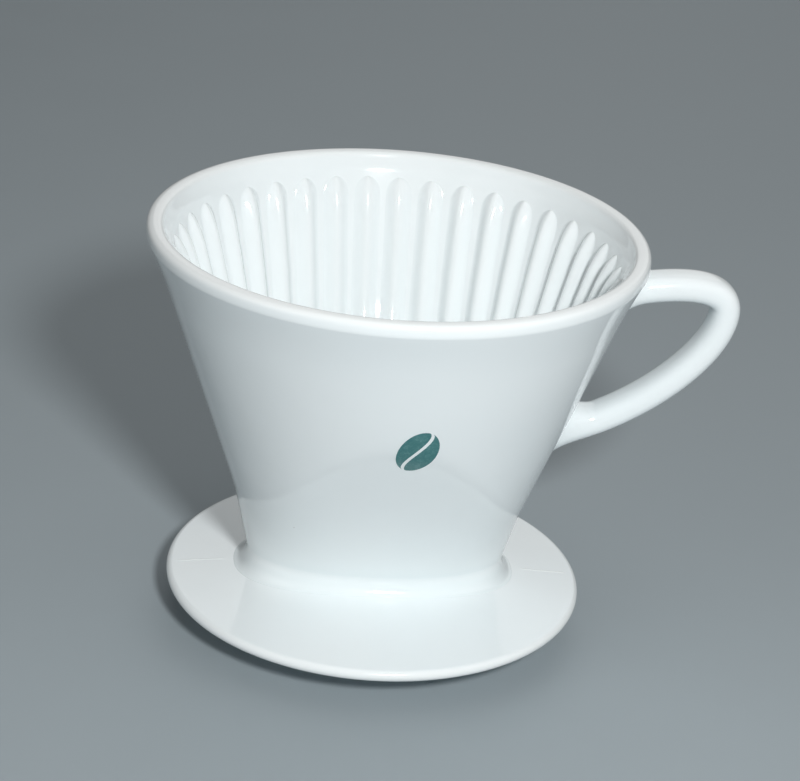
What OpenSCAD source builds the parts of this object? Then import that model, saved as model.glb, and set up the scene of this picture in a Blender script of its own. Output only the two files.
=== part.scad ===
// Pour-over coffee filter holder in white glazed porcelain.
// A round cone turns into an oblong wedge, stands on a round saucer flange and has
// an ear-shaped handle.  Millimetres.  Z is up, Z = 0 is the table, the origin is on
// the axis of the round collar under the flange, and the handle points along +X.
// The real thing is one fired piece; each module below is one named part of it.

/* [Mouth and wall] */
// outer radius of the cone wall 100 mm above the table
cone_r = 60.3; // [56:0.1:64]
// outward lean of the cone, mm of radius per mm of height
cone_lean = 0.3525; // [0.3:0.005:0.4]
// wall thickness measured level
wall_t = 4.8; // [4:0.1:5.6]
// height at which the mouth bead begins
wall_top_z = 101; // [99:0.5:103]
// height of the centre of the mouth bead
bead_z = 104.2; // [103.6:0.1:105]
// radius of the round of the mouth bead
bead_r = 2.2; // [1.8:0.1:2.6]

/* [Wedge and floor] */
// half length of the wedge outline where it meets the foot
foot_a = 33.0; // [31:0.5:35]
// half width of the wedge outline where it meets the foot
foot_b = 18.0; // [16:0.5:20]
// roundness of the wedge outline, 2 is an ellipse
foot_n = 2.4; // [2:0.1:3]
// half length of the floor inside
floor_a = 27.6; // [25:0.2:29]
// half width of the floor inside
floor_b = 12.2; // [10:0.2:14]
// height of the floor inside
floor_z = 14.0; // [13:0.2:15]
// height where the wedge wall begins above the foot blend
foot_z = 16.3; // [15.8:0.1:17]
// lowest height of the line where cone and wedge meet, at the two ends
crease_low = 36.5; // [34:0.5:40]
// highest height of that line, front and back
crease_high = 68.0; // [62:0.5:74]
// sharpness of the arch of that line
crease_p = 4.4; // [3:0.1:6]
// number of drip holes
drip_n = 3; // [1:1:3]
// diameter of a drip hole
drip_d = 4.2; // [3:0.1:5]
// distance between drip holes
drip_pitch = 14; // [10:0.5:18]

/* [Ribs inside] */
// number of ribs in one quarter
rib_quarter = 10; // [8:1:11]
// half width of a rib near the top
rib_w = 1.9; // [1.2:0.1:2]
// height of a rib over the wall
rib_h = 2.1; // [0.6:0.1:2.2]
// height of the upper end of the ribs
rib_top_z = 99.4; // [92:0.2:100]
// height of the lower end of the ribs
rib_low_z = 15.0; // [14.6:0.2:20]

/* [Flange and collar] */
// radius of the saucer flange
flange_r = 54.0; // [50:0.5:58]
// radius of the rounded edge of the flange
edge_r = 1.5; // [1.2:0.1:1.5]
// height of the underside of the flange over the table
seat_z = 8.5; // [6:0.5:9]
// rise of the top of the flange from its edge to the foot
dome_rise = 2.2; // [1:0.1:2.4]
// half length of the foot blend on the flange
pad_a = 36.6; // [35:0.2:38]
// half width of the foot blend on the flange
pad_b = 20.4; // [19.5:0.1:22]
// outer radius of the collar
collar_r = 35.0; // [33:0.5:38]
// wall thickness of the collar
collar_t = 4.0; // [3:0.25:5]
// how far the collar is set into the flange
collar_set = 1; // [0.5:0.1:2]
// height of the bare foot ring under the collar
bare_h = 0.8; // [0.5:0.1:1.5]

/* [Handle] */
// how far the handle reaches out from the axis, centre line
ear_x = 84.0; // [80:0.5:88]
// height of the outermost point of the centre line
ear_z = 88.5; // [83:0.5:89]
// half thickness of the handle seen from the side
ear_t = 3.7; // [3:0.1:4.2]
// half width of the handle seen from above
ear_w = 5.2; // [4:0.1:6]

/* [Mark] */
// height of the middle of the small printed bean mark
mark_z = 68.5; // [66:0.5:74]
// thickness of the printed mark
mark_t = 0.12; // [0.08:0.02:0.2]

/* [View] */
// node to show, or "all"

/* [Hidden] */
white = [0.93, 0.95, 0.95];
bare = [0.86, 0.84, 0.80];
green = [0.18, 0.42, 0.42];
steps = 96;
split_z = crease_high;
edge_z = seat_z + edge_r;
edge_in = flange_r - edge_r;
rib_levels = 10;
rib_round = 2.4;      // the upper end of a rib is rounded over this length
rib_fade = 8;         // and sinks into the wall over this one
rib_pitch = 8;        // ribs closer together than this are lower
rib_start_z = 96;     // height at which the ribs are spaced round the cone
rib_spread = 0.03;    // how much wider the ribs stand in the middle than at the ends
cone_ref_z = 100;     // height at which cone_r is measured
bead_in = 1.55;       // the round of the bead sits this far inside the cone's outline
section_n = 20;       // points round the handle
section_p = 0.9;      // below 1 flattens the four sides of the handle's section
root_top_k = 0.16;    // shares of the handle's arms that the roots take
root_low_k = 0.86;
root_rings = 8;
root_flare = 2.2;     // how sharply a root turns into the wall
top_foot = [90.9, 7.3, 6.8];   // middle height, half height and half width on the wall
low_foot = [53.1, 7.7, 6.4];
collar_lip = 0.5;     // how much wider the collar is where it is set into the flange
seam_in = 38.5;       // the seam lines run between these two radii
seam_out = 51.5;
seam_w = 0.7;
seam_h = 0.25;
bean_half = 6.6;      // half length of the printed bean
bean_wide = 4.6;      // half width of it
bean_gap = 0.45;      // half of the curved gap between its halves
bean_x = 3.6;
bean_lean = 24;

// ---- outline helpers ----

function mix(a, b, k) = a + (b - a) * k;

// radius of the outside of the cone at a height
function cone_at(z) = cone_r + cone_lean * (z - cone_ref_z);

// radius of a rounded oblong in one direction
function oblong(a, b, n, t) =
    pow(pow(abs(cos(t)) / a, n) + pow(abs(sin(t)) / b, n), -1 / n);

// height of the line where cone and wedge meet
function crease_at(t) = crease_low + (crease_high - crease_low) * pow(abs(sin(t)), crease_p);

// outside radius of the wall
function outer_at(t, z) = let(c = crease_at(t)) z >= c ? cone_at(z) :
    mix(oblong(foot_a, foot_b, foot_n, t), cone_at(c), (z - foot_z) / (c - foot_z));

// inside radius of the wall
function inner_at(t, z) = let(c = crease_at(t)) z >= c ? cone_at(z) - wall_t :
    mix(oblong(floor_a, floor_b, foot_n, t), cone_at(c) - wall_t,
        (z - floor_z) / (c - floor_z));

function polar(r, t, z) = [r * cos(t), r * sin(t), z];

// height of the top of the flange at a radius, level under the foot blend
function dome_at(r) = edge_z + edge_r
    + dome_rise * (edge_in - max(r, pad_b)) / (edge_in - pad_b);

// faces of a tube of rings, each ring with n points, closed on itself or capped
function ring_faces(rings, n) = [for (i = [0 : rings - 1], j = [0 : n - 1])
    let(a = i * n + j, b = i * n + (j + 1) % n,
        c = ((i + 1) % rings) * n + (j + 1) % n, d = ((i + 1) % rings) * n + j)
    each [[a, b, c], [a, c, d]]];

function tube_faces(rings, n) = concat(
    [for (i = [0 : rings - 2], j = [0 : n - 1])
        let(a = i * n + j, b = i * n + (j + 1) % n,
            c = (i + 1) * n + (j + 1) % n, d = (i + 1) * n + j)
        each [[a, b, c], [a, c, d]]],
    [[for (j = [n - 1 : -1 : 0]) j]],
    [[for (j = [0 : n - 1]) (rings - 1) * n + j]]);

// ---- wall ----

// outline of the mouth bead: wall, round of the bead, blend to the wall inside
function bead_outline() = let(c = cone_at(bead_z) - bead_in, w = wall_top_z, r = bead_r) concat(
    [[cone_at(w) - wall_t, w], [cone_at(w), w], [cone_at(w) + r / 4, w + r / 3]],
    [for (a = [-42 : 15 : 138]) [c + r * cos(a), bead_z + r * sin(a)]],
    [[c - r * 1.14, bead_z + r * 0.34], [c - r * 1.55, bead_z - r * 0.27]]);

module mouth_rim() color(white)
    rotate_extrude($fn = steps) polygon(bead_outline());

module cone_wall() color(white)
    rotate_extrude($fn = steps) polygon([
        [cone_at(split_z) - wall_t, split_z], [cone_at(split_z), split_z],
        [cone_at(wall_top_z), wall_top_z], [cone_at(wall_top_z) - wall_t, wall_top_z]]);

module wedge_wall() {
    up = [0, 0.1, 0.22, 0.36, 0.5, 0.62, 0.74, 0.87, 1];
    function angle(j) = j * 360 / steps;
    outside = [for (k = up, j = [0 : steps - 1]) let(z = mix(foot_z, split_z, k))
        polar(outer_at(angle(j), z), angle(j), z)];
    inside = [for (i = [len(up) - 1 : -1 : 0], j = [0 : steps - 1])
        let(z = mix(floor_z, split_z, up[i])) polar(inner_at(angle(j), z), angle(j), z)];
    // the wall also reaches down to the floor plate under the foot blend
    skirt = [for (j = [0 : steps - 1])
        polar(oblong(foot_a, foot_b, foot_n, angle(j)), angle(j), floor_z)];
    color(white) polyhedron(concat(skirt, outside, inside),
        ring_faces(2 * len(up) + 1, steps), convexity = 6);
}

// ---- ribs ----

// direction of a rib from the Y axis at a height, s counts from 0 (middle) to 1 (end):
// seen from above a rib runs straight from its place under the mouth to the floor edge
function rib_turn(s, z) =
    let(top = 90 * s * (1 + rib_spread * sin(180 * s)), r = cone_at(rib_start_z) - wall_t,
        k = (rib_start_z - z) / (rib_start_z - rib_low_z))
    atan2(mix(r * sin(top), floor_a * sin(90 * s), k),
        mix(r * cos(top), floor_b * cos(90 * s), k));

// share of full size near the upper end of a rib
function rib_end(z, run) = let(d = (rib_top_z - z) / run)
    d >= 1 ? 1 : sqrt(max(0.02, 1 - pow(1 - d, 2)));

function rib_z(i) = i < 3 ? rib_top_z - rib_round * [0, 0.3, 1][i] :
    mix(rib_top_z - rib_round, rib_low_z, (i - 2) / (rib_levels - 3));

module rib(s, side_x, side_y) {
    half_step = 0.5 / rib_quarter;
    profile = [[-1, 0], [-0.72, 0.66], [0, 1], [0.72, 0.66], [1, 0]];
    pts = [for (i = [0 : rib_levels - 1]) let(
        z = rib_z(i), t = 90 - rib_turn(s, z), ta = 90 - rib_turn(s - half_step, z),
        tb = 90 - rib_turn(s + half_step, z), r = inner_at(t, z),
        gap = norm(polar(inner_at(ta, z), ta, 0) - polar(inner_at(tb, z), tb, 0)),
        w = min(rib_w, gap * 0.3) * rib_end(z, rib_round),
        h = rib_h * min(1, gap / rib_pitch) * rib_end(z, rib_fade),
        span = w / r * 180 / PI)
        each [for (q = profile)
            polar(inner_at(t + q[0] * span, z) - q[1] * h, t + q[0] * span, z)]];
    scale([side_x, side_y, 1]) polyhedron(pts, tube_faces(rib_levels, len(profile)), convexity = 3);
}

module filter_ribs() color(white) {
    for (q = [0 : rib_quarter - 1], sx = [-1, 1], sy = [-1, 1])
        rib((q + 0.5) / rib_quarter, sx, sy);
}

// ---- floor, flange and collar ----

module oblong_2d(a, b) polygon([for (j = [0 : steps - 1]) let(t = j * 360 / steps)
    oblong(a, b, foot_n, t) * [cos(t), sin(t)]]);

module drip_floor() color(white) difference() {
    translate([0, 0, seat_z]) linear_extrude(floor_z - seat_z) oblong_2d(foot_a, foot_b);
    for (i = [0 : drip_n - 1])
        translate([(i - (drip_n - 1) / 2) * drip_pitch, 0, 0])
            cylinder(d = drip_d, h = floor_z + 2, $fn = 48);
}

module saucer_flange() color(white) difference() {
    rotate_extrude($fn = steps) polygon([[0, seat_z], [edge_in, seat_z],
        [edge_in, edge_z + edge_r], [pad_b, dome_at(pad_b)], [0, dome_at(pad_b)]]);
    linear_extrude(foot_z) oblong_2d(foot_a, foot_b);
    collar_ring();
}

module flange_edge() color(white)
    rotate_extrude($fn = steps) intersection() {
        translate([edge_in, edge_z]) circle(r = edge_r, $fn = 48);
        translate([edge_in, seat_z]) square([edge_r, 2 * edge_r]);
    }

// the collar reaches a little way up into the flange, where it is a touch wider
module collar_ring() rotate_extrude($fn = steps) polygon([
    [collar_r - collar_t, bare_h], [collar_r, bare_h], [collar_r, seat_z],
    [collar_r + collar_lip, seat_z], [collar_r + collar_lip, seat_z + collar_set],
    [collar_r - collar_t, seat_z + collar_set]]);

module cup_collar() color(white) difference() {
    collar_ring();
    translate([0, 0, seat_z]) linear_extrude(foot_z) oblong_2d(foot_a, foot_b);
}

module bare_foot() color(bare)
    rotate_extrude($fn = steps) polygon([[collar_r - collar_t, bare_h],
        [collar_r - collar_t + 0.5, 0], [collar_r - 0.5, 0], [collar_r, bare_h]]);

// concave blend between the wedge wall and the flange
module foot_blend() {
    arc = [0, 20, 40, 60, 80, 90];
    function angle(j) = j * 360 / steps;
    low = [for (j = [0 : steps - 1]) let(t = angle(j), r = oblong(foot_a, foot_b, foot_n, t))
        polar(r, t, dome_at(r))];
    blend = [for (i = [len(arc) - 1 : -1 : 0], j = [0 : steps - 1])
        let(t = angle(j), r0 = oblong(foot_a, foot_b, foot_n, t),
            r1 = oblong(pad_a, pad_b, foot_n, t), u = 1 - cos(arc[i]), v = 1 - sin(arc[i]))
        polar(mix(r0, r1, u), t, mix(dome_at(r1), foot_z, v))];
    color(white) polyhedron(concat(low, blend), ring_faces(len(arc) + 1, steps), convexity = 6);
}

// ---- handle ----

function bezier(p, k) = p[0] * pow(1 - k, 3) + p[1] * 3 * k * pow(1 - k, 2)
    + p[2] * 3 * k * k * (1 - k) + p[3] * pow(k, 3);
function bezier_way(p, k) = (p[1] - p[0]) * 3 * pow(1 - k, 2) + (p[2] - p[1]) * 6 * k * (1 - k)
    + (p[3] - p[2]) * 3 * k * k;

top_arm = [[58, 92.9], [69, 95.2], [ear_x, ear_z + 8.3], [ear_x, ear_z]];
low_arm = [[ear_x, ear_z], [ear_x, ear_z - 10.5], [68, 61.5], [46.5, 54.2]];

function squared(v) = sign(v) * pow(abs(v), section_p);

// one ring of the handle across its centre line; p in the XZ plane, d its direction
function ear_ring(p, d, t, w) = let(u = d / norm(d), side = [-u[1], u[0]])
    [for (j = [0 : section_n - 1]) let(a = j * 360 / section_n,
        s = squared(sin(a)))
        [p[0] + side[0] * t * s, w * squared(cos(a)), p[1] + side[1] * t * s]];

module handle_loop() {
    path = concat([for (i = [0 : 12]) let(k = mix(root_top_k, 1, i / 12))
            [bezier(top_arm, k), bezier_way(top_arm, k)]],
        [for (i = [1 : 16]) let(k = mix(0, root_low_k, i / 16))
            [bezier(low_arm, k), bezier_way(low_arm, k)]]);
    color(white) polyhedron([for (q = path) each ear_ring(q[0], q[1], ear_t, ear_w)],
        tube_faces(len(path), section_n), convexity = 8);
}

// flared root between the wall and one end of the handle: spot gives the footprint on the
// wall, p and d the first ring of the handle, up is +1 at the top
module root(p, d, spot, up) {
    rings = root_rings;
    n = section_n;
    ring = ear_ring(p, d, ear_t, ear_w);
    function on_wall(z, y) = [sqrt(pow(outer_at(0, z), 2) - y * y), y, z];
    pts = concat([for (i = [0 : rings - 1], j = [0 : n - 1]) let(
            k = i / (rings - 1), a = j * 360 / n,
            foot = on_wall(spot[0] + spot[1] * squared(sin(a)) * up, spot[2] * squared(cos(a))),
            lead = ring[j] - foot, h = 1 - pow(1 - k, root_flare))
            foot + [lead[0] * k, lead[1] * h, lead[2] * h]],
        [on_wall(spot[0], 0), [p[0], 0, p[1]]]);
    faces = concat(
        [for (i = [0 : rings - 2], j = [0 : n - 1])
            let(a = i * n + j, b = i * n + (j + 1) % n,
                c = (i + 1) * n + (j + 1) % n, e = (i + 1) * n + j)
            each [[a, b, c], [a, c, e]]],
        [for (j = [0 : n - 1]) [rings * n, (j + 1) % n, j]],
        [for (j = [0 : n - 1])
            [rings * n + 1, (rings - 1) * n + j, (rings - 1) * n + (j + 1) % n]]);
    color(white) polyhedron(pts, up > 0 ? faces : [for (f = faces) [f[2], f[1], f[0]]],
        convexity = 6);
}

module handle_top_root()
    root(bezier(top_arm, root_top_k), bezier_way(top_arm, root_top_k), top_foot, 1);

module handle_low_root()
    root(bezier(low_arm, root_low_k), bezier_way(low_arm, root_low_k), low_foot, -1);

// ---- small things ----

// fine raised lines left by the joint of the mould, along the long axis
module mould_seams() {
    run = seam_out - seam_in;
    drop = dome_at(seam_in) - dome_at(seam_out);
    color(white) for (s = [0, 180])
        rotate([0, 0, s]) translate([seam_in, 0, dome_at(seam_in)])
            rotate([0, atan(drop / run), 0])
                translate([0, -seam_w / 2, 0]) cube([run, seam_w, seam_h]);
}

// a thin patch on the front of the wall between two curved edges
module wall_patch(left, right) {
    rows = len(left);
    cols = 3;
    function spot(x, z, lift) = let(t = -90 + asin(x / outer_at(-90, z)))
        polar(outer_at(t, z) + lift, t, z);
    pts = concat(
        [for (i = [0 : rows - 1], j = [0 : cols]) let(q = mix(left[i], right[i], j / cols))
            spot(q[0], q[1], mark_t)],
        [for (i = [0 : rows - 1], j = [0 : cols]) let(q = mix(left[i], right[i], j / cols))
            spot(q[0], q[1], 0)]);
    n = cols + 1;
    m = rows * n;
    top = [for (i = [0 : rows - 2], j = [0 : cols - 1]) let(a = i * n + j)
        each [[a, a + 1, a + n + 1], [a, a + n + 1, a + n]]];
    back = [for (f = top) [f[2] + m, f[1] + m, f[0] + m]];
    rim = concat([for (j = [0 : cols - 1]) j], [for (i = [0 : rows - 2]) i * n + cols],
        [for (j = [cols : -1 : 1]) (rows - 1) * n + j], [for (i = [rows - 1 : -1 : 1]) i * n]);
    wall = [for (i = [0 : len(rim) - 1]) let(a = rim[i], b = rim[(i + 1) % len(rim)])
        each [[a, a + m, b + m], [a, b + m, b]]];
    polyhedron(pts, concat(top, back, wall), convexity = 4);
}

// printed coffee bean: two halves with a curved gap between them
module bean_mark() {
    angles = [for (i = [0 : 14]) mix(-84, 84, i / 14)];
    function turn(x, a) = let(y = bean_half * sin(a))
        [x * cos(bean_lean) + y * sin(bean_lean) + bean_x,
            -x * sin(bean_lean) + y * cos(bean_lean) + mark_z];
    function middle(a) = 2 * bean_gap * sin(a * 2);
    // the outer edge of a half, never nearer to its inner edge than 0.1
    function outer(a) = max(bean_wide * cos(a), bean_gap + 0.1 + abs(middle(a)));
    color(green) {
        wall_patch([for (a = angles) turn(-outer(a), a)],
            [for (a = angles) turn(middle(a) - bean_gap, a)]);
        wall_patch([for (a = angles) turn(middle(a) + bean_gap, a)],
            [for (a = angles) turn(outer(a), a)]);
    }
}

mouth_rim();
cone_wall();
wedge_wall();
filter_ribs();
drip_floor();
foot_blend();
saucer_flange();
flange_edge();
cup_collar();
bare_foot();
handle_loop();
handle_top_root();
handle_low_root();
mould_seams();
bean_mark();
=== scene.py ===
import math

import bpy
import numpy as np
from mathutils import Matrix, Vector


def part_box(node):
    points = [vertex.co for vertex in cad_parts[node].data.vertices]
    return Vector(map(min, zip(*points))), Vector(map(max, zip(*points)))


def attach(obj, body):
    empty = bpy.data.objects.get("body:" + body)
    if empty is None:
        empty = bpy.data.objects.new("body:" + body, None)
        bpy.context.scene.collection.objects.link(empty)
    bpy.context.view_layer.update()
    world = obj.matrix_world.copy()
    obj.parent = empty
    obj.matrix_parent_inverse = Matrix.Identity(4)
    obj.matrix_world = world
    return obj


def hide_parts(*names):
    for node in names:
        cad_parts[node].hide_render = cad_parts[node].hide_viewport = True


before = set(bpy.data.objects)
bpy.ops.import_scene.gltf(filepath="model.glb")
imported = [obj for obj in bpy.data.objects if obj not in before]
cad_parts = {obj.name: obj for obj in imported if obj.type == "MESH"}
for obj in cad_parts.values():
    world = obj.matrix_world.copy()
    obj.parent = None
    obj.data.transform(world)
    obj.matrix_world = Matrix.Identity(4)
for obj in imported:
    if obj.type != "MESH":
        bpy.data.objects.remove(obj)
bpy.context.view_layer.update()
print("frame loaded:", len(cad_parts), "nodes")

# All shapes are worked out in millimetres, Z up, Z = 0 on the table, the handle along +X.
# Only the floor it stands on, the lights and the camera are in metres.
millimetre = 0.001
columns = 360                                             # points round the axis
turns = np.arange(columns) * 2 * np.pi / columns          # directions, counted from the handle


def boxMm(node):
    low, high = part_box(node)
    return np.array(low) / millimetre, np.array(high) / millimetre


def mix(a, b, k):
    return a + (b - a) * k


def easeInOut(k):
    k = np.clip(k, 0, 1)
    return k * k * (3 - 2 * k)


def rising(values, start, end):
    # 0 at start, 1 at end, eased between; start may be the higher of the two
    return easeInOut((values - start) / (end - start))


def unit(vectors):
    return vectors / np.maximum(np.linalg.norm(vectors, axis=-1, keepdims=True), 1e-12)


def bezier(points, k):
    a, b, c, d = points
    return a * (1 - k) ** 3 + b * 3 * k * (1 - k) ** 2 + c * 3 * k * k * (1 - k) + d * k ** 3


def bezierWay(points, k):
    a, b, c, d = points
    return (b - a) * 3 * (1 - k) ** 2 + (c - b) * 6 * k * (1 - k) + (d - c) * 3 * k * k


# The finishes: glaze, bare clay and print.

class Wire:
    # a node's output, so that shader maths reads as plain arithmetic
    def __init__(self, finish, socket):
        self.finish, self.socket = finish, socket

    def maths(self, operation, *values):
        return self.finish.node("ShaderNodeMath", {"operation": operation}, dict(enumerate(values)))

    def __add__(self, other):
        return self.maths("ADD", self, other)

    def __sub__(self, other):
        return self.maths("SUBTRACT", self, other)

    def __rsub__(self, other):
        return self.maths("SUBTRACT", other, self)

    def __mul__(self, other):
        return self.maths("MULTIPLY", self, other)

    __radd__ = __add__
    __rmul__ = __mul__

    def over(self, start, end):
        # 0 below start, 1 above end, eased between; start may be the higher of the two
        return self.finish.node("ShaderNodeMapRange", {"interpolation_type": "SMOOTHSTEP"},
                                {"Value": self, "From Min": start, "From Max": end})


class Finish:
    def __init__(self, name):
        self.material = bpy.data.materials.new(name)
        self.material.use_nodes = True
        self.tree = self.material.node_tree
        self.shader = self.tree.nodes["Principled BSDF"]
        self.place = self.node("ShaderNodeTexCoord", {}, {}, "Object")

    def node(self, kind, settings, values, output=0):
        made = self.tree.nodes.new(kind)
        for key, value in settings.items():
            setattr(made, key, value)
        for key, value in values.items():
            if isinstance(value, Wire):
                self.tree.links.new(value.socket, made.inputs[key])
            else:
                made.inputs[key].default_value = value
        return Wire(self, made.outputs[output])

    def noise(self, size, detail=2.0, roughness=0.5):
        # size is the width of one blotch in millimetres
        return self.node("ShaderNodeTexNoise", {"noise_dimensions": "3D"}, {
            "Vector": self.place, "Scale": 1 / (size * millimetre),
            "Detail": detail, "Roughness": roughness})

    def attribute(self, name):
        return self.node("ShaderNodeAttribute", {"attribute_name": name}, {}, "Fac")

    def blend(self, share, first, second):
        # a Mix node of colours has its share at input 0, its colours at 6 and 7, its result at 2
        made = self.node("ShaderNodeMix", {"data_type": "RGBA"}, {0: share}, 2)
        for index, colour in ((6, first), (7, second)):
            if isinstance(colour, Wire):
                self.tree.links.new(colour.socket, made.socket.node.inputs[index])
            else:
                made.socket.node.inputs[index].default_value = (*colour, 1)
        return made

    def bump(self, height, depth, under=None):
        # depth in millimetres is how deep a height of 1 is
        values = {"Height": height, "Distance": depth * millimetre, "Strength": 1.0}
        if under:
            values["Normal"] = under
        return self.node("ShaderNodeBump", {}, values)

    def wear(self, sockets):
        for key, value in sockets.items():
            target = self.shader.inputs[key]
            if isinstance(value, Wire):
                self.tree.links.new(value.socket, target)
            else:
                target.default_value = value
        return self.material


glazeLook = {
    "white": (0.862, 0.912, 0.920),        # glaze over the white body
    "cool": (0.842, 0.902, 0.916),         # where the kiln left it a little bluer
    "pooled": (0.770, 0.852, 0.868),       # thick glaze in the hollows
    "thin": (0.872, 0.905, 0.900),         # thin glaze on sharp edges
    "speck": (0.400, 0.360, 0.310),
    "roughness": 0.075, "ior": 1.5,
    "cloud": 60, "drift": 24, "smear": 16, # widths in mm of the slow changes of tone and gloss
    "spotCell": 7.5,                       # each cell this wide, mm, may hold a speck or a pinhole
    "pinholeDepth": 0.03,
    "peel": 2.8,                           # width of one dimple of the glaze skin, mm
    "peelDepth": 0.012,
    "wave": 19.0,                          # width of one slow swell of the surface, mm
    "waveDepth": 0.14,
}


def glazedPorcelain():
    look = glazeLook
    finish = Finish("glazedPorcelain")
    cloud = finish.noise(look["cloud"], 2.0, 0.45).over(0.3, 0.7)
    drift = finish.noise(look["drift"], 2.0, 0.5).over(0.25, 0.75)
    pool = finish.attribute("glazePool")
    edge = finish.attribute("glazeThin")
    colour = finish.blend(cloud * 0.75 + drift * 0.25, look["white"], look["cool"])
    colour = finish.blend((pool * (0.75 + drift * 0.5)) * 0.5, colour, look["pooled"])
    colour = finish.blend(edge * (0.45 + cloud * 0.4), colour, look["thin"])
    # a few specks of iron and pinholes, each in its own cell
    cells = {"feature": "F1", "voronoi_dimensions": "3D"}
    scale = 1 / (look["spotCell"] * millimetre)
    spots = {"Vector": finish.place, "Scale": scale, "Randomness": 1.0}
    near = finish.node("ShaderNodeTexVoronoi", cells, spots, "Distance")
    chance = finish.node("ShaderNodeSeparateColor", {}, {
        "Color": finish.node("ShaderNodeTexVoronoi", cells, spots, "Color")}, "Red")
    speck = near.over(0.034, 0.016) * chance.over(0.86, 0.88)
    pinhole = near.over(0.030, 0.010) * chance.over(0.30, 0.24)
    colour = finish.blend(speck * 0.55, colour, look["speck"])
    smear = finish.noise(look["smear"], 4.0, 0.6).over(0.40, 0.75)
    roughness = look["roughness"] + smear * 0.045 + edge * 0.05 - pool * 0.02
    relief = finish.bump(finish.noise(look["wave"], 1.0, 0.4), look["waveDepth"])
    relief = finish.bump(finish.noise(look["peel"], 1.5, 0.4), look["peelDepth"], relief)
    relief = finish.bump(1 - pinhole, look["pinholeDepth"], relief)
    return finish.wear({"Base Color": colour, "Roughness": roughness, "Normal": relief,
                        "IOR": look["ior"]})


bareLook = {
    "clay": (0.700, 0.665, 0.600),
    "pale": (0.800, 0.780, 0.735),
    "rubbed": (0.420, 0.390, 0.345),
    "roughness": 0.72,
    "grain": 0.45, "grainDepth": 0.07, "blotch": 6, "dirt": 2.2,      # widths and depth in mm
}


def bareClay():
    look = bareLook
    finish = Finish("bareClay")
    grain = finish.noise(look["grain"], 4.0, 0.7)
    blotch = finish.noise(look["blotch"], 3.0, 0.6).over(0.35, 0.7)
    dirt = finish.noise(look["dirt"], 5.0, 0.7).over(0.56, 0.78)
    colour = finish.blend(blotch, look["clay"], look["pale"])
    colour = finish.blend(dirt * 0.55, colour, look["rubbed"])
    relief = finish.bump(grain, look["grainDepth"])
    return finish.wear({"Base Color": colour, "Normal": relief,
                        "Roughness": look["roughness"] + grain * 0.2})


printLook = {
    "ink": (0.052, 0.185, 0.190),
    "worn": (0.130, 0.300, 0.300),
    "roughness": 0.14,
    "mottle": 1.6, "grit": 0.35,           # widths in mm
}


def greenPrint():
    look = printLook
    finish = Finish("greenPrint")
    mottle = finish.noise(look["mottle"], 4.0, 0.7).over(0.42, 0.74)
    grit = finish.noise(look["grit"], 3.0, 0.7).over(0.52, 0.72)
    colour = finish.blend(mottle * 0.6 + grit * 0.3, look["ink"], look["worn"])
    relief = finish.bump(finish.noise(glazeLook["peel"], 1.5, 0.4), glazeLook["peelDepth"])
    return finish.wear({"Base Color": colour, "Normal": relief,
                        "Roughness": look["roughness"] + grit * 0.12})


glaze, clay, ink = glazedPorcelain(), bareClay(), greenPrint()
print("finishes made")


# From points and faces to pieces.

sharpFrom = 48          # degrees; where two faces meet more sharply than this, an edge shows


def meshObject(name, points, faces, finish, nodes, fields, loopNormals=None):
    # fields are values at each point that the glaze reads
    mesh = bpy.data.meshes.new(name)
    mesh.from_pydata((np.asarray(points) * millimetre).tolist(), [], [list(f) for f in faces])
    mesh.polygons.foreach_set("use_smooth", [True] * len(mesh.polygons))
    for field in ("glazePool", "glazeThin"):
        values = np.zeros(len(points), np.float32)
        if field in fields:
            values[:] = np.broadcast_to(fields[field], len(points))
        mesh.attributes.new(field, "FLOAT", "POINT").data.foreach_set("value", values)
    mesh.materials.append(finish)
    mesh.update()
    if loopNormals is None:
        mesh.set_sharp_from_angle(angle=math.radians(sharpFrom))
    else:
        mesh.normals_split_custom_set(loopNormals)
    piece = bpy.data.objects.new(name, mesh)
    bpy.context.scene.collection.objects.link(piece)
    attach(piece, "root")
    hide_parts(*nodes)
    return piece


def gridNormals(grid):
    # rows of closed rings; the outside is on the left of the way the rows run
    along = np.roll(grid, -1, 1) - np.roll(grid, 1, 1)
    return unit(np.cross(np.gradient(grid, axis=0), along))


def cutSkin(stretches):
    # stretches of one outline, (name, radii, heights), each starting where the last one ended
    rows, spans = [], {}
    for name, radius, height in stretches:
        radius, height = np.broadcast_arrays(radius, height + 0 * turns)
        points = np.stack([radius * np.cos(turns), radius * np.sin(turns), height], -1)
        start = max(len(rows) - 1, 0)
        rows.extend(points[1:] if rows else points)
        spans[name] = slice(start, len(rows))
    grid = np.array(rows)
    normals = gridNormals(grid)
    return {name: (grid[span], normals[span]) for name, span in spans.items()}


def ringPiece(name, node, runs, fields, finish=None):
    # a closed solid between runs of rings; flat hidden faces join one run to the next
    points = np.concatenate([run[0] for run in runs])
    normals = np.concatenate([run[1] for run in runs])
    rows, around = points.shape[:2]
    lastRows = np.cumsum([len(run[0]) for run in runs]) - 1
    i, j = np.arange(rows)[:, None], np.arange(around)[None, :]
    i2, j2 = (i + 1) % rows, (j + 1) % around
    corners = np.stack([i * around + j, i2 * around + j, i2 * around + j2, i * around + j2], -1)
    flat = points.reshape(-1, 3)
    loopNormals = normals.reshape(-1, 3)[corners]
    for row in lastRows:
        a, b, c = (flat[corners[row, :, k]] for k in (0, 1, 2))
        loopNormals[row] = unit(np.cross(b - a, c - b))[:, None, :]
    flatFields = {key: value.reshape(-1) for key, value in fields(points).items()}
    return meshObject(name, flat, corners.reshape(-1, 4), finish or glaze, [node], flatFields,
                      loopNormals.reshape(-1, 3).tolist())


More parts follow.
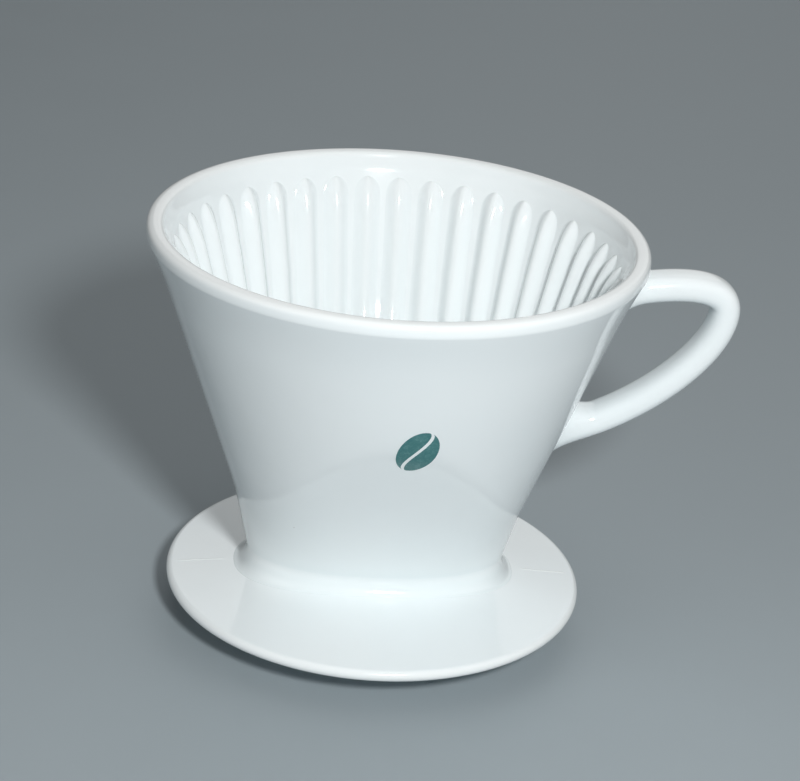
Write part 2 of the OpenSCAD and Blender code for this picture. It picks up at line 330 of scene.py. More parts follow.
def tubePiece(name, node, rings, normals, fields):
    # a closed tube of rings with a fan over each end
    count, around = rings.shape[:2]
    i, j = np.arange(count - 1)[:, None], np.arange(around)[None, :]
    j2 = (j + 1) % around
    side = np.stack([i * around + j, (i + 1) * around + j, (i + 1) * around + j2,
                     i * around + j2], -1).reshape(-1, 4)
    points = np.concatenate([rings.reshape(-1, 3), [rings[0].mean(0)], [rings[-1].mean(0)]])
    start, end = count * around, count * around + 1
    last = (count - 1) * around
    fans = [(start, k, (k + 1) % around) for k in range(around)]
    fans += [(end, last + (k + 1) % around, last + k) for k in range(around)]
    loopNormals = normals.reshape(-1, 3)[side].reshape(-1, 3).tolist()
    for a, b, c in fans:
        n = unit(np.cross(points[b] - points[a], points[c] - points[a]))
        loopNormals += [n.tolist()] * 3
    values = {key: np.concatenate([value.reshape(-1), [0, 0]])
              for key, value in fields(rings).items()}
    return meshObject(name, points, side.tolist() + fans, glaze, [node],
                      values, loopNormals)


# The wall is a round cone that turns into an oblong wedge.

wallForm = {
    "coneRadius": 60.3,        # outside, at the height below
    "measuredAt": 100.0,
    "lean": 0.3525,            # radius gained for each mm of height
    "wall": 4.8,
    "footHalfLength": 33.0, "footHalfWidth": 18.0,
    "floorHalfLength": 27.6, "floorHalfWidth": 12.2,
    "oblongPower": 2.4,
    "creaseLow": 36.5, "creaseHigh": 68.0, "creaseArch": 4.4,
    "creaseSoftEnds": 1.1, "creaseSoftFront": 3.4,
    "footHeight": 16.3, "floorHeight": 14.0,
    "blendHeight": 18.8,       # the wall turns into the foot blend here
    "filletHeight": 17.4,      # and into the floor here, inside
    "filletReach": 2.6,        # that fillet starts this far in from the edge of the floor
    "filletSink": 0.03,        # and a hair under the floor, so that the two pieces close up
    "filletPulls": (1.7, 1.9), # how far its curve runs along the floor and along the wall
}


def coneAt(z):
    return wallForm["coneRadius"] + wallForm["lean"] * (z - wallForm["measuredAt"])


def oblong(halfLength, halfWidth, t):
    n = wallForm["oblongPower"]
    return (np.abs(np.cos(t) / halfLength) ** n + np.abs(np.sin(t) / halfWidth) ** n) ** (-1 / n)


def creaseAt(t):
    form = wallForm
    return mix(form["creaseLow"], form["creaseHigh"], np.abs(np.sin(t)) ** form["creaseArch"])


def wallAt(t, z, halfLength, halfWidth, base, inset):
    # two straight flanks that meet in a softened crease
    crease = creaseAt(t)
    slope = (coneAt(crease) - inset - oblong(halfLength, halfWidth, t)) / (crease - base)
    soft = mix(wallForm["creaseSoftEnds"], wallForm["creaseSoftFront"], np.abs(np.sin(t)))
    under = (z - crease - np.sqrt((z - crease) ** 2 + soft ** 2)) / 2
    return coneAt(z) - inset + (slope - wallForm["lean"]) * under


def outerAt(t, z):
    form = wallForm
    return wallAt(t, z, form["footHalfLength"], form["footHalfWidth"], form["footHeight"], 0)


def innerAt(t, z):
    form = wallForm
    return wallAt(t, z, form["floorHalfLength"], form["floorHalfWidth"], form["floorHeight"],
                  form["wall"])


def onWall(t, z, lift=0.0):
    r = outerAt(t, z)
    step, turnStep = 0.05, 0.001
    rise = (outerAt(t, z + step) - outerAt(t, z - step)) / (2 * step)
    swing = (outerAt(t + turnStep, z) - outerAt(t - turnStep, z)) / (2 * turnStep) / r
    normal = unit(np.stack([np.cos(t) + swing * np.sin(t), np.sin(t) - swing * np.cos(t),
                            -rise + 0 * t], -1))
    return np.stack([r * np.cos(t), r * np.sin(t), z + 0 * t], -1) + normal * lift, normal


rimForm = {
    "beadRadius": 2.19, "beadHeight": 104.2,
    "beadIn": 1.58,            # the bead's centre is this far inside the outline of the cone
    "flatness": 0.74,          # below 1 flattens the top and the sides of the bead
    "starts": 152, "ends": -28,        # degrees round the bead, from inside over the top
    "innerEnd": 101.6,         # inside, the bead has run into the wall here
    "innerPulls": (1.6, 1.3),  # how far that curve follows the wall and the bead
    "outerEnd": 99.8,          # outside, the rim piece ends here
    "outerFade": 90.0,         # and the last of the bead's swell is gone here, on the cone piece
    "outerPulls": (3.6, 5.5),  # how far that curve follows the bead and the wall
}
blendForm = {
    "padHalfLength": 36.6, "padHalfWidth": 20.4,
    "lip": 0.14,               # the pad stands this proud of the flange
    "lipStart": 0.4,           # the lip starts this far inside the pad's outline
    "lipRound": 0.42, "lipSink": 0.1,  # it runs out this far, and aims this much under the flange
    "wallPull": 2.9,           # how far the concave curve follows the wall
    "flatShare": 0.5,          # and how much of its reach it runs out along the flange
    "flatRise": 0.16,
}
flangeForm = {
    "radius": boxMm("flange_edge")[1][0], "edgeRadius": 1.5, "rise": 2.2,
    "underside": boxMm("saucer_flange")[0][2],
    "collarRadius": boxMm("cup_collar")[1][0], "collarWall": 4.0,
    "bareHeight": boxMm("bare_foot")[1][2],
    "fillet": 1.7,
    "wellRadius": 29.0,
    "underPad": 1.2,           # the flange runs this far in under the foot blend
}
edgeInner = flangeForm["radius"] - flangeForm["edgeRadius"]


def flangeTopAt(r):
    form = flangeForm
    top = form["underside"] + 2 * form["edgeRadius"]
    share = (edgeInner - r) / (edgeInner - blendForm["padHalfWidth"])
    return top + form["rise"] * np.clip(share, 0, 1)


def bodySkin():
    form, rim = wallForm, rimForm
    r, c, z0 = rim["beadRadius"], coneAt(rim["beadHeight"]) - rim["beadIn"], rim["beadHeight"]
    wallWay = unit(np.array([form["lean"], 1.0]))

    def beadPoint(degrees):
        a = math.radians(degrees)
        x, y = (math.copysign(abs(v) ** rim["flatness"], v) for v in (math.cos(a), math.sin(a)))
        return np.array([c + r * x, z0 + r * y])

    def beadWay(degrees):
        return unit(beadPoint(degrees + 1) - beadPoint(degrees - 1))

    # the floor's edge: a fillet from the floor up into the wall
    base, top = form["floorHeight"] - form["filletSink"], form["filletHeight"]
    floorPull, wallPull = form["filletPulls"]
    wallPoint = innerAt(turns, top)
    floorPoint = oblong(form["floorHalfLength"] - form["filletReach"],
                        form["floorHalfWidth"] - form["filletReach"], turns)
    lean = wallPoint - innerAt(turns, top - 1)
    k = np.linspace(0, 1, 13)[:, None]
    filletRadius = bezier((floorPoint, floorPoint + floorPull, wallPoint - lean * wallPull,
                           wallPoint), k)
    filletHeight = bezier((base, base + 0.02, top - wallPull, top), k)
    # inner wall, on from the last ring of the fillet
    split = form["creaseHigh"]
    wedgeIn = np.linspace(top, split, 64)[1:, None]
    innerEnd = rim["innerEnd"]
    coneIn = np.linspace(split, innerEnd, 20)[:, None]
    # over the bead
    wallIn = np.array([coneAt(innerEnd) - form["wall"], innerEnd])
    first, last = beadPoint(rim["starts"]), beadPoint(rim["ends"])
    alongWall, alongBead = rim["innerPulls"]
    inside = bezier((wallIn, wallIn + wallWay * alongWall,
                     first + beadWay(rim["starts"]) * alongBead, first),
                    np.linspace(0, 1, 14)[:, None])
    crown = np.array([beadPoint(a) for a in np.linspace(rim["starts"], rim["ends"], 61)])
    wallOut = np.array([coneAt(rim["outerFade"]), rim["outerFade"]])
    alongBead, alongWall = rim["outerPulls"]
    outside = bezier((last, last - beadWay(rim["ends"]) * alongBead,
                      wallOut + wallWay * alongWall, wallOut), np.linspace(0, 1, 32)[:, None])
    cut = int(np.argmax(outside[:, 1] < rim["outerEnd"]))
    bead = np.concatenate([inside, crown[1:], outside[1:cut + 1]])
    # outer wall
    coneOut = np.linspace(rim["outerFade"], split, 14)[1:, None]
    coneRadius = np.concatenate([outside[cut:, :1] + 0 * turns, outerAt(turns, coneOut)])
    coneHeight = np.concatenate([outside[cut:, 1:] + 0 * turns, coneOut + 0 * turns])
    wedgeOut = np.linspace(split, form["blendHeight"], 68)[:, None]
    # the foot blend: off the wall, out along the flange, then over the lip of the pad
    start = outerAt(turns, form["blendHeight"])
    way = start - outerAt(turns, form["blendHeight"] - 1)
    pad = oblong(blendForm["padHalfLength"], blendForm["padHalfWidth"], turns)
    lipHeight = flangeTopAt(pad) + blendForm["lip"]
    lipStart, pull = pad - blendForm["lipStart"], blendForm["wallPull"]
    blendRadius = bezier((start, start - way * pull,
                          lipStart - (pad - start) * blendForm["flatShare"], lipStart), k)
    blendHeight = bezier((form["blendHeight"] + 0 * turns, form["blendHeight"] - pull + 0 * turns,
                          lipHeight + blendForm["flatRise"], lipHeight), k)
    lipTurn = np.radians(np.linspace(0, 80, 6))[1:, None]
    lipRadius = lipStart + blendForm["lipRound"] * np.sin(lipTurn)
    lipDrop = lipHeight - (blendForm["lip"] + blendForm["lipSink"]) * (1 - np.cos(lipTurn))
    return cutSkin([
        ("wedgeInside", np.concatenate([filletRadius, innerAt(turns, wedgeIn)]),
         np.concatenate([filletHeight, wedgeIn])),
        ("coneInside", innerAt(turns, coneIn), coneIn),
        ("bead", bead[:, :1] + 0 * turns, bead[:, 1:]),
        ("coneOutside", coneRadius, coneHeight),
        ("wedgeOutside", outerAt(turns, wedgeOut), wedgeOut),
        ("blend", np.concatenate([blendRadius, lipRadius]), np.concatenate([blendHeight, lipDrop])),
    ])


def hiddenRing(radius, height):
    # a ring inside the porcelain that closes a piece
    points = np.stack([radius * np.cos(turns), radius * np.sin(turns), height + 0 * turns], -1)
    return points[None], np.zeros((1, columns, 3)) + (0, 0, 1)


def plain(points):
    # glaze of an even thickness
    return {}


jointForm = {                  # where wedge wall and foot blend meet, inside the porcelain
    "seatDepth": 0.8,          # how far in from the wall's outline the top of the blend reaches
    "blendFoot": (1.4, 12.6),  # how far in the blend's hidden foot lies, and at what height
    "wallFoot": (2.6, 12.8),   # the same for the wall's
    "wallFootInside": (25.2, 9.8),     # its half length and half width inside
}


def wallPieces():
    body, form = bodySkin(), jointForm
    start = outerAt(turns, wallForm["blendHeight"])
    seat = hiddenRing(start - form["seatDepth"], wallForm["blendHeight"])
    blendDepth, blendHeight = form["blendFoot"]
    wallDepth, wallHeight = form["wallFoot"]
    ringPiece("mouthRim", "mouth_rim", [body["bead"]],
              lambda p: {"glazeThin": rising(p[..., 2], 104.6, 106.2)})
    ringPiece("coneWall", "cone_wall", [body["coneOutside"], body["coneInside"]], plain)
    ringPiece("wedgeWall", "wedge_wall",
              [body["wedgeOutside"], seat, hiddenRing(start - wallDepth, wallHeight),
               hiddenRing(oblong(*form["wallFootInside"], turns), wallHeight),
               body["wedgeInside"]],
              lambda p: {"glazePool": rising(p[..., 2], 24, 16) * 0.7})
    ringPiece("footBlend", "foot_blend",
              [body["blend"], hiddenRing(start - blendDepth, blendHeight), seat],
              lambda p: {"glazePool": rising(p[..., 2], 17.8, 15.4)})


wallPieces()
print("wall made")


# The ribs stand on the inside of the wall.

ribForm = {
    "perQuarter": 10,
    "halfWidth": 3.9, "height": 2.2,
    "widest": 0.49,            # share of the pitch that half a rib may take
    "fullPitch": 8.0,          # ribs closer together than this are lower
    "top": 100.4, "low": 15.2,
    "roundEnd": 4.2,           # the upper end is rounded over this length
    "fadeEnd": 8.0,            # and sinks into the wall over this one
    "spacedAt": 96.0, "gatheredAt": 15.0,      # they are spaced at these two heights
    "spread": 0.03,            # in the middle of a quarter they stand this share further round
    "shoulder": 2.8,           # above 1 makes the sides run out softly
    "footFade": 4, "footShare": 0.3,   # the lower end flattens over this length, to this share
    "edgeDepth": 0.035, "backDepth": 0.6,      # how deep its edges and its back lie in the wall
}


def ribTurn(share, z):
    # straight when seen from above, from under the mouth to the edge of the floor
    form, wall = ribForm, wallForm
    top = math.pi / 2 * share * (1 + form["spread"] * math.sin(math.pi * share))
    r = coneAt(form["spacedAt"]) - wall["wall"]
    k = (form["spacedAt"] - z) / (form["spacedAt"] - form["gatheredAt"])
    across = mix(r * math.sin(top), wall["floorHalfLength"] * math.sin(math.pi / 2 * share), k)
    ahead = mix(r * math.cos(top), wall["floorHalfWidth"] * math.cos(math.pi / 2 * share), k)
    return math.pi / 2 - np.arctan2(across, ahead)


def ribGrid(share, count):
    form = ribForm
    high, low, end = form["top"], form["low"], form["fadeEnd"]
    z = np.concatenate([high - end * (1 - np.cos(np.linspace(0.05, np.pi / 2, 20))),
                        np.linspace(high - end, low, 46)[1:]])
    step = 0.5 / count
    centre, before, after = (ribTurn(s, z) for s in (share, share - step, share + step))
    spots = [innerAt(t, z)[:, None] * np.stack([np.cos(t), np.sin(t)], -1) for t in (before, after)]
    gap = np.linalg.norm(spots[0] - spots[1], axis=-1)
    full, risen = (np.sqrt(1 - (1 - np.clip((high - z) / run, 0, 1)) ** 2)
                   for run in (form["roundEnd"], end))
    fade = mix(form["footShare"], 1, easeInOut((z - low) / form["footFade"]))
    half = np.minimum(form["halfWidth"], gap * form["widest"]) * full
    tall = form["height"] * np.minimum(1, gap / form["fullPitch"]) * risen * fade
    q = np.linspace(-1, 1, 21)
    turn = centre[:, None] + q * (half / innerAt(centre, z))[:, None]
    swell = tall[:, None] * (1 - q * q) ** form["shoulder"]
    base = innerAt(turn, z[:, None])
    front = base + form["edgeDepth"] - swell
    backTurn, backRadius = turn[:, ::-1][:, ::2], base[:, ::-1][:, ::2] + form["backDepth"]
    t, r = np.concatenate([turn, backTurn], 1), np.concatenate([front, backRadius], 1)
    rings = np.stack([r * np.cos(t), r * np.sin(t), z[:, None] + 0 * t], -1)
    crown = np.concatenate([(1 - q * q) * np.ones((len(z), 1)), np.zeros(backTurn.shape)], 1)
    return rings, crown


def filterRibs():
    count = ribForm["perQuarter"]
    grids = []
    for sideX in (1, -1):
        for sideY in (1, -1):
            for k in range(count):
                rings, crown = ribGrid((k + 0.5) / count, count)
                grids.append((rings * (sideX, sideY, 1), crown, sideX * sideY > 0))
    points, faces, crowns = [], [], []
    for rings, crown, straight in grids:
        rows, around = rings.shape[:2]
        first = len(points)
        points.extend(rings.reshape(-1, 3))
        crowns.extend(crown.reshape(-1))
        made = []
        for i in range(rows - 1):
            for j in range(around):
                j2 = (j + 1) % around
                made.append((i * around + j, (i + 1) * around + j, (i + 1) * around + j2,
                             i * around + j2))
        made.append(tuple(range(around)))
        made.append(tuple((rows - 1) * around + j for j in reversed(range(around))))
        for face in made:
            face = tuple(first + v for v in face)
            faces.append(tuple(reversed(face)) if straight else face)
    crowns = np.array(crowns)
    meshObject("filterRibs", np.array(points), faces, glaze, ["filter_ribs"],
               {"glazePool": (1 - crowns) * 0.55, "glazeThin": crowns ** 3 * 0.3})


filterRibs()
print("ribs made")


# The floor with its drip holes.

floorForm = {
    "holes": 3, "diameter": 4.2, "pitch": 14.0,
    "rounding": 0.9,           # of the edge of a hole, above and below
    "segments": 48, "past": 1, # the cutter has this many sides and stands out this far
    "sharpFrom": 40,           # degrees
}


def lathed(name, outline, around):
    # a closed body turned from an outline that starts and ends on its axis
    angles = np.arange(around) * 2 * np.pi / around
    points, faces = [(0, 0, outline[0][1])], []
    for radius, height in outline[1:-1]:
        points += [(radius * math.cos(a), radius * math.sin(a), height) for a in angles]
    points.append((0, 0, outline[-1][1]))
    rows = len(outline) - 2
    for j in range(around):
        j2 = (j + 1) % around
        faces.append((0, 1 + j2, 1 + j))
        for i in range(rows - 1):
            a, b = 1 + i * around, 1 + (i + 1) * around
            faces.append((a + j, a + j2, b + j2, b + j))
        faces.append((1 + (rows - 1) * around + j, 1 + (rows - 1) * around + j2, len(points) - 1))
    mesh = bpy.data.meshes.new(name)
    mesh.from_pydata((np.array(points) * millimetre).tolist(), [], faces)
    return mesh


def dripFloor():
    form = floorForm
    low, high = flangeForm["underside"], wallForm["floorHeight"]
    outline = np.minimum(flangeForm["wellRadius"],
                         oblong(wallForm["footHalfLength"], wallForm["footHalfWidth"], turns))
    rim = np.stack([outline * np.cos(turns), outline * np.sin(turns)], -1)
    points = [(x, y, z) for z in (low, high) for x, y in rim]
    faces = [tuple(reversed(range(columns))), tuple(range(columns, 2 * columns))]
    faces += [(j, (j + 1) % columns, columns + (j + 1) % columns, columns + j)
              for j in range(columns)]
    piece = meshObject("dripFloor", np.array(points), faces, glaze,
                       ["drip_floor"], {})
    # the cutter: a straight bore with both ends rounded outwards
    r, e = form["diameter"] / 2, form["rounding"]
    bend = np.radians(np.linspace(0, 90, 9))
    lower = [(r + e * (1 - math.sin(a)), low + e * (1 - math.cos(a))) for a in bend]
    upper = [(x, low + high - z) for x, z in reversed(lower)]
    foot, head = low - form["past"], high + form["past"]
    shape = [(0, foot), (r + e, foot)] + lower + upper + [(r + e, head), (0, head)]
    cutterMesh = lathed("dripCutter", shape, form["segments"])
    cutters = []
    for k in range(form["holes"]):
        cutter = bpy.data.objects.new("dripCutter", cutterMesh)
        cutter.location.x = (k - (form["holes"] - 1) / 2) * form["pitch"] * millimetre
        bpy.context.scene.collection.objects.link(cutter)
        cutters.append(cutter)
        hole = piece.modifiers.new("hole", "BOOLEAN")
        hole.operation, hole.solver, hole.object = "DIFFERENCE", "EXACT", cutter
    bpy.context.view_layer.update()
    depsgraph = bpy.context.evaluated_depsgraph_get()
    cut = bpy.data.meshes.new_from_object(piece.evaluated_get(depsgraph))
    piece.modifiers.clear()
    piece.data = cut
    cut.polygons.foreach_set("use_smooth", [True] * len(cut.polygons))
    cut.set_sharp_from_angle(angle=math.radians(form["sharpFrom"]))
    for cutter in cutters:
        bpy.data.objects.remove(cutter)
    bpy.data.meshes.remove(cutterMesh)


dripFloor()
print("floor made")


# Flange, collar and bare foot are turned, apart from the oblong in the middle.

def saucerSkin():
    form = flangeForm
    low, e = form["underside"], form["edgeRadius"]
    collar, inner = form["collarRadius"], form["collarRadius"] - form["collarWall"]
    f, bare, well = form["fillet"], form["bareHeight"], form["wellRadius"]
    pad = oblong(blendForm["padHalfLength"], blendForm["padHalfWidth"], turns)
    pad = pad - form["underPad"]
    topRows = mix(pad, edgeInner, np.linspace(0, 1, 26)[:, None])
    edge = np.radians(np.linspace(90, -90, 25))[:, None]
    bend = np.radians(np.linspace(0, 90, 11))[:, None]
    oblongEdge = np.minimum(well, oblong(wallForm["footHalfLength"], wallForm["footHalfWidth"],
                                         turns))
    # the ground ring's worn corner: how far in from the side, and how high
    foot = np.array([[0, bare], [0, bare * 0.55], [0.08, bare * 0.3], [0.25, bare * 0.1],
                     [0.55, 0.0]])
    worn = foot[-1, 0]
    ground = np.concatenate([foot * (-1, 1) + (collar, 0),
                             np.linspace((collar - worn, 0), (inner + worn, 0), 8)[1:-1],
                             (foot + (inner, 0))[::-1]])
    return cutSkin([
        ("flangeTop", topRows, flangeTopAt(topRows)),
        ("edge", edgeInner + e * np.cos(edge) + 0 * turns, low + e + e * np.sin(edge)),
        ("flangeUnder", np.linspace(edgeInner, collar + f, 12)[:, None] + 0 * turns,
         np.full((12, 1), low)),
        ("collarOutside", np.concatenate([collar + f - f * np.sin(bend),
                                          np.full((5, 1), collar)]) + 0 * turns,
         np.concatenate([low - f + f * np.cos(bend), np.linspace(low - f, bare, 6)[1:, None]])),
        ("foot", ground[:, :1] + 0 * turns, ground[:, 1:]),
        ("collarInside", np.concatenate([np.full((5, 1), inner),
                                         inner - f + f * np.cos(bend)]) + 0 * turns,
         np.concatenate([np.linspace(bare, low - f, 6)[:-1, None], low - f + f * np.sin(bend)])),
        ("well", mix(inner - f, oblongEdge, np.linspace(0, 1, 8)[:, None]), np.full((8, 1), low)),
    ])


saucer = saucerSkin()
ringPiece("saucerFlange", "saucer_flange",
          [saucer["flangeTop"], saucer["flangeUnder"], saucer["well"]], plain)
ringPiece("flangeEdge", "flange_edge", [saucer["edge"]],
          lambda p: {"glazeThin": rising(np.hypot(p[..., 0], p[..., 1]), 52.6, 54.0) * 0.8})
ringPiece("cupCollar", "cup_collar", [saucer["collarOutside"], saucer["collarInside"]],
          lambda p: {"glazePool": rising(p[..., 2], 6.2, 8.2) * 0.8,
                     "glazeThin": rising(p[..., 2], 1.6, 0.8)})
ringPiece("bareFoot", "bare_foot", [saucer["foot"]], plain, clay)
print("flange and collar made")


# The handle: one loop and its two flared roots.

handleForm = {
    "topArm": [(58, 92.9), (69, 95.2), (84, 96.8), (84, 88.5)],      # centre line, X and Z
    "lowArm": [(84, 88.5), (84, 78), (68, 61.5), (46.5, 54.2)],
    "halfThickness": 3.7, "halfWidth": 5.2,
    "squareness": 0.8,
    "topRootEnds": 0.16, "lowRootStarts": 0.86,       # shares of the arms that the roots take
    "topFoot": (90.9, 7.6, 7.4),       # middle height, half height and half width on the wall
    "lowFoot": (53.1, 7.9, 7.2),
    "edgeDepth": 0.04, "footDepth": 0.8,   # how deep a root's edge and hidden end lie in the wall
    "leaves": (1.15, 0.12),            # how hard a root leaves along the wall and away from it
    "arrives": 1.2,                    # and how hard it turns into the loop
    "segments": 72,
}


def handleRings():
    form = handleForm
    a = np.arange(form["segments"]) * 2 * np.pi / form["segments"]
    c, s = (np.sign(v) * np.abs(v) ** form["squareness"] for v in (np.cos(a), np.sin(a)))
    topArm, lowArm = np.array(form["topArm"], float), np.array(form["lowArm"], float)

    def ring(arm, k):
        (x, z), way = bezier(arm, k), unit(bezierWay(arm, k))
        t, w = form["halfThickness"], form["halfWidth"]
        return np.stack([x - way[1] * t * s, w * c, z + way[0] * t * s], -1), \
            np.array([way[0], 0, way[1]])

    def root(arm, k, foot, up, outward):
        target, way = ring(arm, k)
        middle, halfHeight, halfWidth = foot
        z = middle + halfHeight * s * up
        y = halfWidth * c
        t = np.arcsin(y / outerAt(0.0, z))
        spot, normal = onWall(t, z, -form["edgeDepth"])
        lead = target - spot
        flat = lead - normal * (lead * normal).sum(-1, keepdims=True)
        length = np.linalg.norm(lead, axis=-1, keepdims=True)
        k = np.linspace(0, 1, 18)[:, None, None]
        flatPull, outPull = form["leaves"]
        leave = flat * flatPull + normal * outPull * length
        arrive = way * outward * length * form["arrives"]
        rings = ((2 * k ** 3 - 3 * k ** 2 + 1) * spot + (k ** 3 - 2 * k ** 2 + k) * leave
                 + (3 * k ** 2 - 2 * k ** 3) * target + (k ** 3 - k ** 2) * arrive)
        return np.concatenate([(spot - normal * form["footDepth"])[None], rings])

    topRoot = root(topArm, form["topRootEnds"], form["topFoot"], 1, 1)
    lowRoot = root(lowArm, form["lowRootStarts"], form["lowFoot"], -1, -1)[::-1]
    loop = [ring(topArm, k)[0] for k in np.linspace(form["topRootEnds"], 1, 34)]
    loop += [ring(lowArm, k)[0] for k in np.linspace(0, form["lowRootStarts"], 46)[1:]]
    return topRoot, np.array(loop), lowRoot


def makeHandle():
    topRoot, loop, lowRoot = handleRings()
    # the rings are turned about, so that their normals point out of the handle
    grid = np.concatenate([topRoot, loop[1:], lowRoot[1:]])[:, ::-1]
    normals = gridNormals(grid)
    a = len(topRoot) - 1
    b = a + len(loop) - 1
    reach = np.linalg.norm(grid - grid.mean(1, keepdims=True), axis=-1)
    soft = rising(reach, 5.2, 8.2)
    pieces = (("handleTopRoot", "handle_top_root", 0, a), ("handleLoop", "handle_loop", a, b),
              ("handleLowRoot", "handle_low_root", b, len(grid) - 1))
    for name, node, first, last in pieces:
        span = slice(first, last + 1)
        pool = soft[span] if name != "handleLoop" else 0 * soft[span]
        tubePiece(name, node, grid[span], normals[span], lambda p: {"glazePool": pool})


makeHandle()
print("handle made")


# Small things: the seams of the mould and the printed bean.

seamForm = {
    "from": 38.6, "to": 51.4, "halfWidth": 0.42, "height": 0.13,
    "taper": 1.2, "endShare": 0.15,    # the ends thin out over this length, to this share
    "sink": 0.02, "depth": 0.12,       # its edges and its underside lie this deep
}


def mouldSeams():
    form = seamForm
    x = np.linspace(form["from"], form["to"], 40)
    q = np.linspace(-1, 1, 9)
    fromEnd = np.minimum(x - form["from"], form["to"] - x)
    taper = np.minimum(1, fromEnd / form["taper"] + form["endShare"])
    wander = 0.10 * np.sin(x * 0.55) + 0.05 * np.sin(x * 1.7)      # not quite straight
    points, faces = [], []
    for side in (1, -1):
        first = len(points)
        for i, xi in enumerate(x):
            y = q * form["halfWidth"] * taper[i] + wander[i]
            z = flangeTopAt(np.hypot(xi, y)) - form["sink"]
            z = z + form["height"] * taper[i] * (1 - q * q)
            points += [(side * xi, side * yj, zj) for yj, zj in zip(y, z)]
            points += [(side * xi, side * y[end], z[end] - form["depth"]) for end in (-1, 0)]
        n = len(q) + 2
        for i in range(len(x) - 1):
            for j in range(n):
                a, b = first + i * n + j, first + i * n + (j + 1) % n
                faces.append((b, a, a + n, b + n))
        faces.append(tuple(first + j for j in range(n)))
        faces.append(tuple(first + (len(x) - 1) * n + j for j in reversed(range(n))))
    meshObject("mouldSeams", np.array(points), faces, glaze, ["mould_seams"],
               {"glazeThin": 0.8})


beanForm = {
    "halfLength": 6.6, "halfWidth": 4.6, "gap": 0.45,
    "middleX": 3.6, "middleZ": 68.5, "lean": 24,
    "thickness": 0.07, "backDepth": 0.05,
    "tip": 84, "tipWidth": 0.1,        # degrees at which each half ends, and its width there
}


def beanMark():
    form = beanForm
    lean = math.radians(form["lean"])
    a = np.radians(np.linspace(-form["tip"], form["tip"], 49))
    middle = 2 * form["gap"] * np.sin(2 * a)
    side = np.maximum(form["halfWidth"] * np.cos(a), form["gap"] + form["tipWidth"] + np.abs(middle))
    along = form["halfLength"] * np.sin(a)
    q = np.linspace(0, 1, 12)
    points, faces = [], []
    for left, right in ((-side, middle - form["gap"]), (middle + form["gap"], side)):
        x = mix(left[:, None], right[:, None], q)
        y = along[:, None] + 0 * x
        px = x * math.cos(lean) + y * math.sin(lean) + form["middleX"]
        pz = y * math.cos(lean) - x * math.sin(lean) + form["middleZ"]
        t = np.arcsin(px / outerAt(-np.pi / 2, pz)) - np.pi / 2
        top, _ = onWall(t, pz, form["thickness"])
        back, _ = onWall(t, pz, -form["backDepth"])
        first, rows, across = len(points), len(a), len(q)
        points += top.reshape(-1, 3).tolist() + back.reshape(-1, 3).tolist()
        m = rows * across
        for i in range(rows - 1):
            for j in range(across - 1):
                k = first + i * across + j
                faces.append((k, k + 1, k + across + 1, k + across))
                faces.append((k + m + across, k + m + across + 1, k + m + 1, k + m))
        rim = list(range(across - 1)) + [i * across + across - 1 for i in range(rows - 1)]
        rim += [(rows - 1) * across + j for j in range(across - 1, 0, -1)]
        rim += [i * across for i in range(rows - 1, 0, -1)]
        for u, v in zip(rim, rim[1:] + rim[:1]):
            faces.append((first + v, first + u, first + u + m, first + v + m))
    meshObject("beanMark", np.array(points), faces, ink, ["bean_mark"], {})


mouldSeams()
beanMark()
print("seams and mark made")


# Where it stands: floor, light and camera.

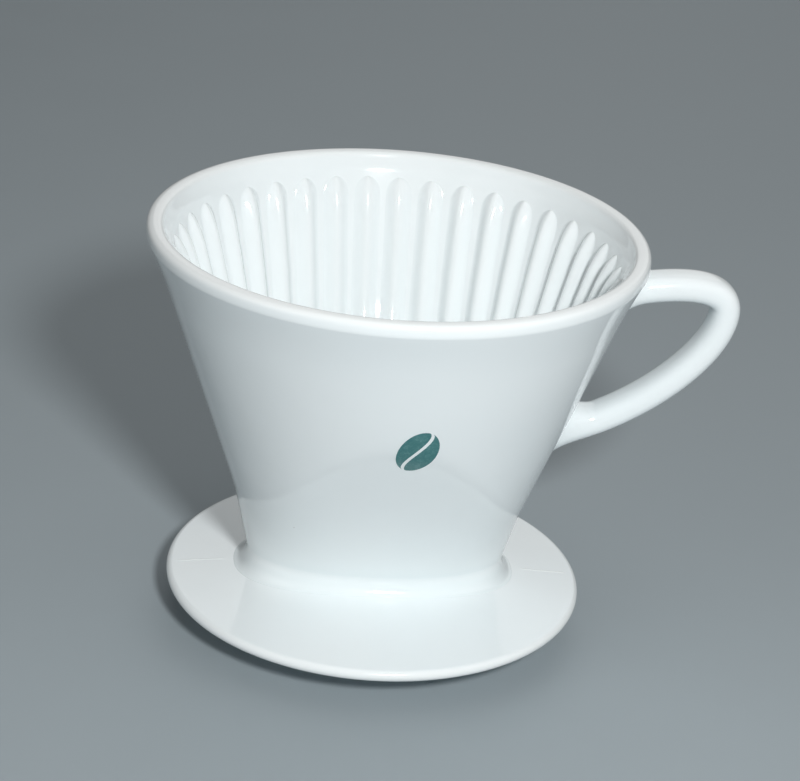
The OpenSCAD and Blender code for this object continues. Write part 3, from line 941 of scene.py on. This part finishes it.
stageLook = {
    "floor": (0.330, 0.380, 0.405), "floorTint": 1.06, "floorRoughness": 0.6,
    "floorHalfWidth": 3.0,                         # metres
    "air": (1.0, 1.0, 1.0), "airStrength": 0.15,
    "lights": {                                    # place, width in metres, power in watts
        "key": ((0.09, -0.66, 0.48), 0.10, 4.7),
        "left": ((-0.85, -0.45, 0.55), 0.80, 0.9),
        "right": ((0.90, -0.30, 0.60), 0.80, 0.6),
        "top": ((0.00, 0.05, 1.10), 0.80, 1.0),
        "back": ((0.25, 0.90, 0.65), 0.90, 1.5),
    },
    "lightsAimAt": (0.01, 0, 0.06),
    "lens": 108.83, "sensor": 36.0,                # mm
    "clip": (0.05, 20),                            # nearest and farthest, metres
    "cameraPlace": (-0.05545, -0.55907, 0.31296),
    "cameraRight": (0.9946, -0.0704, 0.0761),
    "cameraUp": (-0.0405, 0.4120, 0.9103),
    "cameraBack": (-0.0955, -0.9084, 0.4069),
}


def stage():
    look = stageLook
    finish = Finish("paleFloor")
    grain = finish.noise(60, 3.0, 0.6)
    tint = finish.blend(grain.over(0.3, 0.7) * 0.25, look["floor"],
                        tuple(v * look["floorTint"] for v in look["floor"]))
    finish.wear({"Base Color": tint, "Roughness": look["floorRoughness"] + grain * 0.1})
    mesh = bpy.data.meshes.new("paleFloor")
    s = look["floorHalfWidth"]
    mesh.from_pydata([(-s, -s, 0), (s, -s, 0), (s, s, 0), (-s, s, 0)], [], [(0, 1, 2, 3)])
    mesh.materials.append(finish.material)
    ground = bpy.data.objects.new("paleFloor", mesh)
    bpy.context.scene.collection.objects.link(ground)

    world = bpy.data.worlds.new("studioAir")
    world.use_nodes = True
    air = world.node_tree.nodes["Background"]
    air.inputs["Color"].default_value = (*look["air"], 1)
    air.inputs["Strength"].default_value = look["airStrength"]
    bpy.context.scene.world = world

    for name, (place, width, power) in look["lights"].items():
        light = bpy.data.lights.new(name + "Light", "AREA")
        light.shape, light.size, light.energy = "DISK", width, power
        lamp = bpy.data.objects.new(name + "Light", light)
        lamp.location = place
        aim = Vector(look["lightsAimAt"]) - lamp.location
        lamp.rotation_euler = aim.to_track_quat("-Z", "Y").to_euler()
        bpy.context.scene.collection.objects.link(lamp)

    camera = bpy.data.cameras.new("camera")
    camera.lens, camera.sensor_width = look["lens"], look["sensor"]
    camera.clip_start, camera.clip_end = look["clip"]
    eye = bpy.data.objects.new("camera", camera)
    axes = [Vector(look[key]) for key in ("cameraRight", "cameraUp", "cameraBack")]
    turn = Matrix(axes).transposed().to_quaternion().to_matrix().to_4x4()
    eye.matrix_world = Matrix.Translation(look["cameraPlace"]) @ turn
    bpy.context.scene.collection.objects.link(eye)
    bpy.context.scene.camera = eye
    bpy.context.scene.view_settings.view_transform = "Standard"


stage()
print("stage made")
